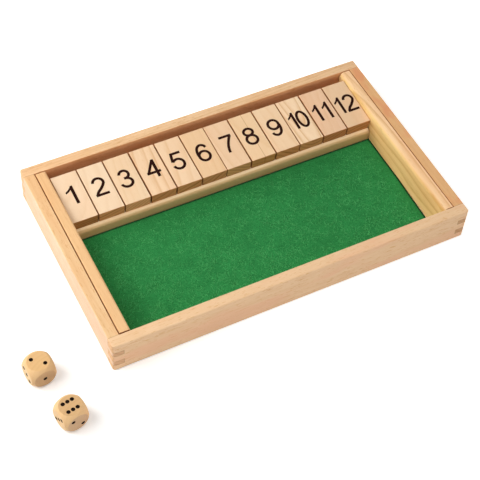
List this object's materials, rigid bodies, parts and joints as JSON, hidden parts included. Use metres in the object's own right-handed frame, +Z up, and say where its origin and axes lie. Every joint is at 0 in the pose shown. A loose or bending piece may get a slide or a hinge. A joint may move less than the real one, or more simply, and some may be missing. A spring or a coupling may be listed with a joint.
{
  "type": "shut the box game",
  "caption": "Shut the box dice game: finger-jointed wooden tray with a green felt floor, a row of numbered tiles that swing up on a hidden rod, and wooden dice.",
  "frame": {"origin": "middle of the tray's footprint, on the surface that it stands on", "axes": "+X along the long side to the player's right, +Y from the player towards the tiles, +Z up"},
  "size_m": [0.4074, 0.2458, 0.034],
  "materials": {
    "board_wood": "sanded, clear matt lacquer",
    "cheek_wood": "sanded, clear matt lacquer",
    "tile_wood": "planed smooth, clear matt lacquer, printed numbers",
    "plywood": "plain plywood",
    "felt": "green wool-look felt",
    "rod_steel": "drawn steel",
    "die_wood": "tumbled, satin varnish, painted pips"
  },
  "bodies": {
    "tray": {"front_wall": "board_wood", "back_wall": "board_wood", "left_wall": "board_wood", "right_wall": "board_wood", "base_panel": "plywood", "felt_sheet": "felt", "left_cheek": "cheek_wood", "right_cheek": "cheek_wood", "divider_rail": "board_wood", "pivot_rod": "rod_steel"},
    "tile_01": {"tile_01": "tile_wood"},
    "tile_02": {"tile_02": "tile_wood"},
    "tile_03": {"tile_03": "tile_wood"},
    "tile_04": {"tile_04": "tile_wood"},
    "tile_05": {"tile_05": "tile_wood"},
    "tile_06": {"tile_06": "tile_wood"},
    "tile_07": {"tile_07": "tile_wood"},
    "tile_08": {"tile_08": "tile_wood"},
    "tile_09": {"tile_09": "tile_wood"},
    "tile_10": {"tile_10": "tile_wood"},
    "tile_11": {"tile_11": "tile_wood"},
    "tile_12": {"tile_12": "tile_wood"},
    "die_1": {"die_1": "die_wood"},
    "die_2": {"die_2": "die_wood"}
  },
  "joints": [
    {"name": "tile_01_hinge", "type": "hinge", "parent": "tray", "child": "tile_01", "pos_m": [0, 0.07813, 0.02518], "axis": [-1, 0, 0], "range_deg": [0, 136]},
    {"name": "tile_02_hinge", "type": "hinge", "parent": "tray", "child": "tile_02", "pos_m": [0, 0.07813, 0.02518], "axis": [-1, 0, 0], "range_deg": [0, 136]},
    {"name": "tile_03_hinge", "type": "hinge", "parent": "tray", "child": "tile_03", "pos_m": [0, 0.07813, 0.02518], "axis": [-1, 0, 0], "range_deg": [0, 136]},
    {"name": "tile_04_hinge", "type": "hinge", "parent": "tray", "child": "tile_04", "pos_m": [0, 0.07813, 0.02518], "axis": [-1, 0, 0], "range_deg": [0, 136]},
    {"name": "tile_05_hinge", "type": "hinge", "parent": "tray", "child": "tile_05", "pos_m": [0, 0.07813, 0.02518], "axis": [-1, 0, 0], "range_deg": [0, 136]},
    {"name": "tile_06_hinge", "type": "hinge", "parent": "tray", "child": "tile_06", "pos_m": [0, 0.07813, 0.02518], "axis": [-1, 0, 0], "range_deg": [0, 136]},
    {"name": "tile_07_hinge", "type": "hinge", "parent": "tray", "child": "tile_07", "pos_m": [0, 0.07813, 0.02518], "axis": [-1, 0, 0], "range_deg": [0, 136]},
    {"name": "tile_08_hinge", "type": "hinge", "parent": "tray", "child": "tile_08", "pos_m": [0, 0.07813, 0.02518], "axis": [-1, 0, 0], "range_deg": [0, 136]},
    {"name": "tile_09_hinge", "type": "hinge", "parent": "tray", "child": "tile_09", "pos_m": [0, 0.07813, 0.02518], "axis": [-1, 0, 0], "range_deg": [0, 136]},
    {"name": "tile_10_hinge", "type": "hinge", "parent": "tray", "child": "tile_10", "pos_m": [0, 0.07813, 0.02518], "axis": [-1, 0, 0], "range_deg": [0, 136]},
    {"name": "tile_11_hinge", "type": "hinge", "parent": "tray", "child": "tile_11", "pos_m": [0, 0.07813, 0.02518], "axis": [-1, 0, 0], "range_deg": [0, 136]},
    {"name": "tile_12_hinge", "type": "hinge", "parent": "tray", "child": "tile_12", "pos_m": [0, 0.07813, 0.02518], "axis": [-1, 0, 0], "range_deg": [0, 136]},
    {"name": "die_1_lift", "type": "slide", "parent": "tray", "child": "die_1", "axis": [0, 0, 1], "range_m": [0, 0.08]},
    {"name": "die_2_lift", "type": "slide", "parent": "tray", "child": "die_2", "axis": [0, 0, 1], "range_m": [0, 0.08]}
  ]
}
